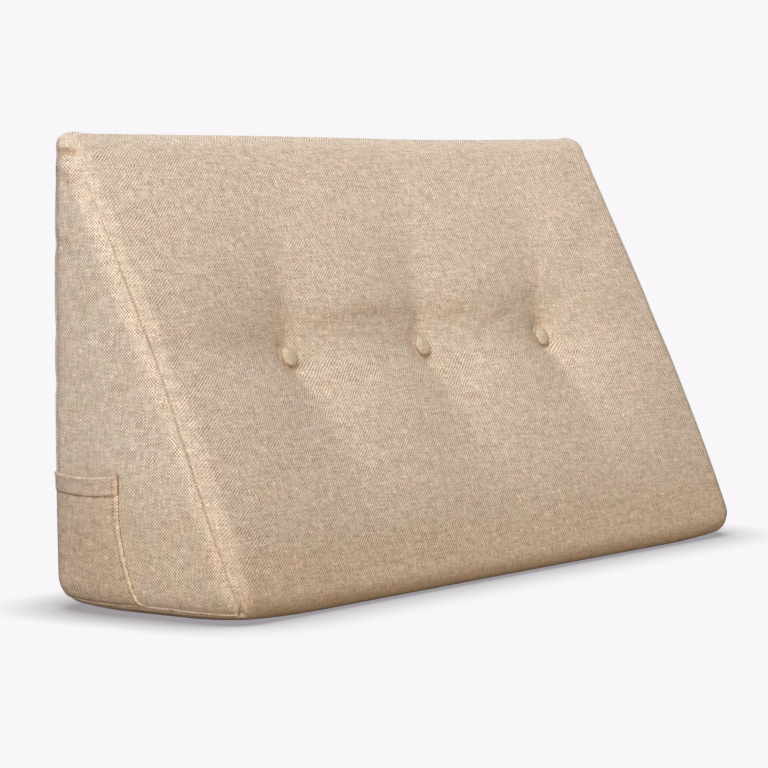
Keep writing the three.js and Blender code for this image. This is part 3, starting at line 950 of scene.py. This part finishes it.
# Painted shade in the gaps where the yarns cross
PAINTED_CREVICE_SHADE_SPAN = (0.0, 0.35, 0.86, 1.0)
PATCH_ROUGHNESS = 0.6
WARM_SCALE = 26.0
WARM_SPAN = (0.48, 0.68, 0.0, 0.5)
WARM_TINT = (1.07, 0.97, 0.97, 1)
GREEN_SCALE = 30.0
GREEN_SPAN = (0.5, 0.7, 0.0, 0.5)
GREEN_TINT = (0.97, 1.01, 0.9, 1)
HEIGHT_OF_WEAVE = 0.7
HEIGHT_OF_TONE = 0.3

# Painted shade: where ambient occlusion finds a hollow or the floor close by, the cloth's colour is
# darkened and warmed, standing in for the warm light that cloth throws back
SHADED_WITHIN = 150 * MM
SHADED_SAMPLES = 8
SHADED_OPENNESS = 0.86
PAINTED_SHADE_TINT = (0.945, 0.9, 0.83, 1)


class Wiring:
    """Adds shader nodes to a tree and joins them"""

    def __init__(self, tree):
        self.tree = tree

    def node(self, kind, **settings):
        """A new node with its settings"""
        made = self.tree.nodes.new(kind)
        for name, value in settings.items():
            setattr(made, name, value)
        return made

    def put(self, socket, value):
        """Joins an output to a socket, or sets the socket to a plain value"""
        if isinstance(value, bpy.types.NodeSocket):
            self.tree.links.new(value, socket)
        else:
            socket.default_value = value

    def math(self, operation, *values):
        """The result of a sum, a product or the like"""
        made = self.node("ShaderNodeMath", operation=operation)
        for socket, value in zip(made.inputs, values):
            self.put(socket, value)
        return made.outputs[0]

    def noise(self, vector, scale, detail=2.0, roughness=0.5):
        """A soft random value, mostly near a half"""
        made = self.node("ShaderNodeTexNoise")
        self.put(made.inputs["Vector"], vector)
        self.put(made.inputs["Scale"], scale)
        self.put(made.inputs["Detail"], detail)
        self.put(made.inputs["Roughness"], roughness)
        return made.outputs["Fac"]

    def span(self, value, low, high, new_low=0.0, new_high=1.0):
        """A value of one range carried over to another, and held within it"""
        made = self.node("ShaderNodeMapRange")
        for socket, number in zip(made.inputs, (value, low, high, new_low, new_high)):
            self.put(socket, number)
        return made.outputs[0]

    def mix(self, share, first, second, blend_type="MIX"):
        """A mix of two colours"""
        made = self.node("ShaderNodeMix", data_type="RGBA", blend_type=blend_type)
        self.put(made.inputs[0], share)
        self.put(made.inputs[6], first)
        self.put(made.inputs[7], second)
        return made.outputs[2]

    def tint(self, share, colour, tint):
        """A colour, seen through a tint where the share is 1"""
        return self.mix(share, colour, self.mix(1.0, colour, tint, "MULTIPLY"))

    def join(self, x, y, z=0.0):
        """A place made of three values"""
        made = self.node("ShaderNodeCombineXYZ")
        for socket, value in zip(made.inputs, (x, y, z)):
            self.put(socket, value)
        return made.outputs[0]

    def bump(self, shader, height, strength, distance):
        """Raises a shader's surface by a height"""
        made = self.node("ShaderNodeBump")
        self.put(made.inputs["Strength"], strength)
        self.put(made.inputs["Distance"], distance)
        self.put(made.inputs["Height"], height)
        self.put(shader.inputs["Normal"], made.outputs["Normal"])


def weave_group_face(group):
    """The inputs and outputs of the woven cloth"""
    inputs = {
        "Cloth": "NodeSocketVector", "Warp Pitch": "NodeSocketFloat", "Weft Pitch": "NodeSocketFloat",
        "Lean": "NodeSocketFloat", "Contrast": "NodeSocketFloat", "Light Yarn": "NodeSocketColor",
        "Dark Yarn": "NodeSocketColor",
    }
    for name, kind in inputs.items():
        group.interface.new_socket(name=name, in_out="INPUT", socket_type=kind)
    for name, kind in {"Color": "NodeSocketColor", "Height": "NodeSocketFloat"}.items():
        group.interface.new_socket(name=name, in_out="OUTPUT", socket_type=kind)


def woven_cloth_group():
    """Plain weave of two mixed yarns: the lighter one over or under, slubs, flecks and slow patches, with
    painted shade where the yarns cross, in hollows and near the floor, and the marks' painted highlight and
    shade
    """
    group = bpy.data.node_groups.new("woven_cloth", "ShaderNodeTree")
    weave_group_face(group)
    w = Wiring(group)
    given = w.node("NodeGroupInput").outputs
    parts = w.node("ShaderNodeSeparateXYZ")
    w.put(parts.inputs[0], given["Cloth"])
    along, up, mark = parts.outputs
    place = w.join(along, up)
    calm = w.span(mark, *CALM_SPAN)
    lean = w.math("MULTIPLY", given["Lean"], calm)
    contrast = w.math("MULTIPLY", given["Contrast"], calm)
    # Painted highlight on the pocket's rims, and painted shade in stitch lines and inside the pocket
    painted_highlight_and_shade = w.math("MULTIPLY", w.span(mark, *PAINTED_RIM_HIGHLIGHT_SPAN), w.span(mark, *PAINTED_MARK_SHADE_SPAN))
    # The yarns sway a little; the third value of a place only keeps one noise apart from the next
    sway = w.span(w.noise(place, SLUB_SCALE, detail=1.0), *SLUB_SPAN)
    rise = w.span(w.noise(w.join(up, along, 3.0), SLUB_SCALE, detail=1.0), *SLUB_SPAN)
    warp = w.math("ADD", w.math("DIVIDE", along, given["Warp Pitch"]), sway)
    weft = w.math("ADD", w.math("DIVIDE", up, given["Weft Pitch"]), rise)
    # Warp over weft where this is above 0; a lean strengthens one diagonal, as in a twill
    turn_a = w.math("MULTIPLY", warp, math.pi)
    turn_b = w.math("MULTIPLY", weft, math.pi)
    leaning = w.math("COSINE", w.math("SUBTRACT", turn_a, turn_b))
    counter = w.math("COSINE", w.math("ADD", turn_a, turn_b))
    weave = w.math(
        "SUBTRACT",
        w.math("MULTIPLY", counter, w.math("SUBTRACT", 1.0, lean)),
        w.math("MULTIPLY", leaning, w.math("ADD", 1.0, lean)),
    )
    warp_on_top = w.span(weave, *ON_TOP_SPAN)
    hollow = w.math("ABSOLUTE", weave)
    # Each yarn's own tone changes slowly along it and quickly from yarn to yarn
    along_warp = w.join(warp, w.math("MULTIPLY", weft, YARN_TONE_STRETCH), 1.0)
    along_weft = w.join(w.math("MULTIPLY", warp, YARN_TONE_STRETCH), weft, 7.0)
    warp_tone = w.noise(along_warp, YARN_TONE_SCALE, roughness=YARN_TONE_ROUGHNESS)
    weft_tone = w.noise(along_weft, YARN_TONE_SCALE, roughness=YARN_TONE_ROUGHNESS)
    yarn = w.node("ShaderNodeMix", data_type="FLOAT")
    w.put(yarn.inputs[0], warp_on_top)
    w.put(yarn.inputs[2], w.math("SUBTRACT", weft_tone, contrast))
    w.put(yarn.inputs[3], w.math("ADD", warp_tone, contrast))
    tone = w.span(yarn.outputs[0], *TONE_SPAN)
    colour = w.mix(tone, given["Dark Yarn"], given["Light Yarn"])
    # Light flecks, dark holes between the yarns, and painted shade in the gaps where they cross
    fleck = w.span(w.noise(w.join(warp, weft, 11.0), FLECK_SCALE, detail=1.0), *FLECK_SPAN)
    hole = w.span(w.noise(w.join(warp, weft, 17.0), FLECK_SCALE, detail=1.0), *HOLE_SPAN)
    painted_crevice_shade = w.span(hollow, *PAINTED_CREVICE_SHADE_SPAN)
    shade = w.math("MULTIPLY", w.math("MULTIPLY", fleck, hole), w.math("MULTIPLY", painted_crevice_shade, painted_highlight_and_shade))
    colour = w.mix(1.0, colour, w.join(shade, shade, shade), "MULTIPLY")
    # Slow patches of colour, and painted shade: darker and warmer in hollows and near the floor
    warm = w.noise(place, WARM_SCALE, roughness=PATCH_ROUGHNESS)
    warm = w.span(warm, *WARM_SPAN)
    green = w.noise(w.join(up, along, 9.0), GREEN_SCALE, roughness=PATCH_ROUGHNESS)
    green = w.span(green, *GREEN_SPAN)
    colour = w.tint(warm, colour, WARM_TINT)
    colour = w.tint(green, colour, GREEN_TINT)
    # Painted shade, darker and warmer where ambient occlusion finds a hollow or the floor
    around = w.node("ShaderNodeAmbientOcclusion", samples=SHADED_SAMPLES)
    w.put(around.inputs["Distance"], SHADED_WITHIN)
    painted_shade = w.span(around.outputs["AO"], SHADED_OPENNESS, 1.0, 1.0, 0.0)
    colour = w.tint(painted_shade, colour, PAINTED_SHADE_TINT)
    height = w.math(
        "ADD",
        w.math("MULTIPLY", w.span(hollow, 0.0, 1.0), HEIGHT_OF_WEAVE),
        w.math("MULTIPLY", tone, HEIGHT_OF_TONE),
    )
    result = w.node("NodeGroupOutput").inputs
    w.put(result["Color"], colour)
    w.put(result["Height"], height)
    return group


def new_material(name):
    """A new material, with the wiring of its tree and its shader"""
    material = bpy.data.materials.new(name)
    material.use_nodes = True
    return material, Wiring(material.node_tree), material.node_tree.nodes["Principled BSDF"]


def cloth_material(name, group, warp_pitch, weft_pitch, lean, contrast, tint=(1, 1, 1)):
    """One of the pillow's cloths: the same yarns, woven at its own pitch"""
    material, w, shader = new_material(name)
    for socket, value in CLOTH_FINISH.items():
        w.put(shader.inputs[socket], value)
    place = w.node("ShaderNodeAttribute", attribute_name="flat_cloth")
    weave = w.node("ShaderNodeGroup", node_tree=group)
    w.put(weave.inputs["Cloth"], place.outputs["Vector"])
    for socket, value in (
        ("Warp Pitch", warp_pitch), ("Weft Pitch", weft_pitch), ("Lean", lean), ("Contrast", contrast),
        ("Light Yarn", tinted(LIGHT_YARN, tint)), ("Dark Yarn", tinted(DARK_YARN, tint)),
    ):
        w.put(weave.inputs[socket], value)
    w.put(shader.inputs["Base Color"], weave.outputs["Color"])
    w.bump(shader, weave.outputs["Height"], **CLOTH_BUMP)
    return material


def thread_material():
    """Light sewing thread with its twist"""
    material, w, shader = new_material("sewing_thread")
    w.put(shader.inputs["Roughness"], THREAD_ROUGHNESS)
    place = w.node("ShaderNodeTexCoord").outputs["Object"]
    twist = w.noise(place, THREAD_TWIST_SCALE, detail=1.0)
    w.put(shader.inputs["Base Color"], w.mix(twist, DARK_THREAD, LIGHT_THREAD))
    w.bump(shader, twist, **THREAD_BUMP)
    return material


woven_cloth = woven_cloth_group()
front_cloth = cloth_material(
    "front_cloth", woven_cloth, warp_pitch=2.27 * MM, weft_pitch=1.71 * MM, lean=0.4, contrast=0.135,
)
end_cloth = cloth_material(
    "end_cloth", woven_cloth, warp_pitch=1.65 * MM, weft_pitch=1.84 * MM, lean=0.0, contrast=0.18,
)
# The ends' weave with a darker, warmer tint for painted shade
pocket_cloth = cloth_material(
    "pocket_cloth", woven_cloth, warp_pitch=1.65 * MM, weft_pitch=1.84 * MM, lean=0.0, contrast=0.16,
    tint=POCKET_SHADE_TINT,
)
button_cloth = cloth_material(
    "button_cloth", woven_cloth, warp_pitch=1.9 * MM, weft_pitch=1.5 * MM, lean=0.3, contrast=0.06,
    tint=BUTTON_TINT,
)
thread = thread_material()

cover = build_cover()
shift = seat_shift(cover)
pocket = build_pocket()
topstitch = build_topstitch()
pocket_topstitch = build_pocket_stitch()
buttons = [build_button(number) for number in BUTTON_NUMBERS]
for piece in (cover, pocket, topstitch, pocket_topstitch, *buttons):
    piece.data.transform(Matrix.Translation(shift))
    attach(piece, "root")

cover.data.materials.append(front_cloth)
cover.data.materials.append(end_cloth)
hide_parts("wedge_body")

pocket.data.materials.append(pocket_cloth)
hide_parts("side_pocket")

for piece, slot in ((topstitch, "cover_cloth"), (pocket_topstitch, "pocket_cloth")):
    piece.data.materials.append(thread)

for number, button in zip(BUTTON_NUMBERS, buttons):
    button.data.materials.append(button_cloth)
    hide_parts(f"button_{number}")


# Camera at the photo's angle, in degrees, metres and pixels
CAMERA_AZIMUTH = -54.21
CAMERA_ELEVATION = 4.0
CAMERA_DISTANCE = 3.5502
CAMERA_TARGET = Vector((-0.0821, 0, 0.216))
FOCAL_PIXELS = 3159.5
PICTURE_PIXELS = 768
SENSOR_WIDTH = 36
CAMERA_SEES_TO = 50

# Floor: what it throws back at the pillow, and the painted shadow that the camera sees on it near the
# contact
BACKDROP = linear(248, 246, 249)
FLOOR_PAINTED_SHADOW = linear(158, 154, 158)
FLOOR_BOUNCE = (0.085, 0.042, 0.01, 1)
FLOOR_ROUGHNESS = 0.9
FLOOR_REACH = 30
FLOOR_SHADE_WITHIN = 90 * MM
FLOOR_SHADE_SAMPLES = 16
FLOOR_SHADE_SPAN = (0.45, 1.0)

# Broad far lights, each with its place in the sky, its strength, its width in degrees and its colour
FAR_LIGHTS = {
    "key_light": {
        "azimuth": -50, "elevation": 5, "strength": 3.5, "spread": 40, "colour": (1, 0.82, 0.645),
    },
    "side_light": {
        "azimuth": -74, "elevation": 30, "strength": 2.05, "spread": 40, "colour": (0.52, 0.735, 1),
    },
    "back_light": {
        "azimuth": 135, "elevation": 35, "strength": 1.3, "spread": 60, "colour": (1, 0.95, 0.9),
    },
}

# A long soft box above the front
OVERHEAD_LENGTH = 2.4
OVERHEAD_WIDTH = 0.4
OVERHEAD_POWER = 9
OVERHEAD_COLOUR = (0.77, 0.83, 0.88)
OVERHEAD_PLACE = Vector((-0.1, -0.3, 1.2))
OVERHEAD_TARGET = Vector((-0.1, 0, 0.3))

# A weak warm fill from all round
WORLD_FILL = (0.05, 0.035, 0.02, 1)


def sky_direction(azimuth, elevation):
    """Direction from the pillow to a place in the sky; azimuth 0 is its front and -90 its left"""
    turn, rise = math.radians(azimuth), math.radians(elevation)
    return Vector((math.sin(turn) * math.cos(rise), -math.cos(turn) * math.cos(rise), math.sin(rise)))


def aim(piece, away):
    """Turns a light or a camera to look against a direction"""
    piece.rotation_euler = (-away).to_track_quat("-Z", "Y").to_euler()


def make_camera():
    """The scene's camera, at the photo's angle and with its framing"""
    data = bpy.data.cameras.new("camera")
    data.sensor_width = SENSOR_WIDTH
    data.lens = FOCAL_PIXELS / PICTURE_PIXELS * data.sensor_width
    data.clip_end = CAMERA_SEES_TO
    camera = put_in_scene("camera", data)
    back = sky_direction(CAMERA_AZIMUTH, CAMERA_ELEVATION)
    camera.location = CAMERA_TARGET + shift + back * CAMERA_DISTANCE
    aim(camera, back)
    bpy.context.scene.camera = camera


def floor_material():
    """A pale studio floor: the camera sees it evenly bright, with a soft painted shadow at the contact"""
    material, w, shader = new_material("pale_floor")
    w.put(shader.inputs["Base Color"], FLOOR_BOUNCE)
    w.put(shader.inputs["Roughness"], FLOOR_ROUGHNESS)
    near = w.node("ShaderNodeAmbientOcclusion", samples=FLOOR_SHADE_SAMPLES)
    w.put(near.inputs["Distance"], FLOOR_SHADE_WITHIN)
    # Painted shadow: darker where ambient occlusion finds the pillow close by
    share = w.span(near.outputs["AO"], *FLOOR_SHADE_SPAN)
    glow = w.node("ShaderNodeEmission")
    w.put(glow.inputs["Color"], w.mix(share, FLOOR_PAINTED_SHADOW, BACKDROP))
    seen = w.node("ShaderNodeLightPath").outputs["Is Camera Ray"]
    both = w.node("ShaderNodeMixShader")
    w.put(both.inputs[0], seen)
    w.put(both.inputs[1], shader.outputs[0])
    w.put(both.inputs[2], glow.outputs[0])
    w.put(material.node_tree.nodes["Material Output"].inputs["Surface"], both.outputs[0])
    return material


def make_floor():
    """A wide floor under the pillow, which is no part of it"""
    mesh = bpy.data.meshes.new("floor")
    corners = [(x * FLOOR_REACH, y * FLOOR_REACH, 0) for x, y in ((-1, -1), (1, -1), (1, 1), (-1, 1))]
    mesh.from_pydata(corners, [], [(0, 1, 2, 3)])
    floor = put_in_scene("floor", mesh)
    mesh.materials.append(floor_material())


def make_far_light(name, azimuth, elevation, strength, spread, colour):
    """A broad far light that shines from a place in the sky"""
    data = bpy.data.lights.new(name, "SUN")
    data.energy = strength
    data.angle = math.radians(spread)
    data.color = colour
    aim(put_in_scene(name, data), sky_direction(azimuth, elevation))


def make_overhead():
    """The long soft box above the pillow's front"""
    data = bpy.data.lights.new("overhead_box", "AREA")
    data.shape = "RECTANGLE"
    data.size = OVERHEAD_LENGTH
    data.size_y = OVERHEAD_WIDTH
    data.energy = OVERHEAD_POWER
    data.color = OVERHEAD_COLOUR
    light = put_in_scene("overhead_box", data)
    light.location = OVERHEAD_PLACE
    aim(light, OVERHEAD_PLACE - OVERHEAD_TARGET)


def make_world():
    """Pale behind the pillow, and only a weak fill for the light"""
    world = bpy.data.worlds.new("studio")
    world.use_nodes = True
    w = Wiring(world.node_tree)
    seen = w.node("ShaderNodeLightPath").outputs["Is Camera Ray"]
    back = world.node_tree.nodes["Background"]
    w.put(back.inputs["Color"], w.mix(seen, WORLD_FILL, BACKDROP))
    bpy.context.scene.world = world


make_camera()
make_floor()
for name, light in FAR_LIGHTS.items():
    make_far_light(name, **light)
make_overhead()
make_world()
bpy.context.scene.view_settings.view_transform = "Standard"
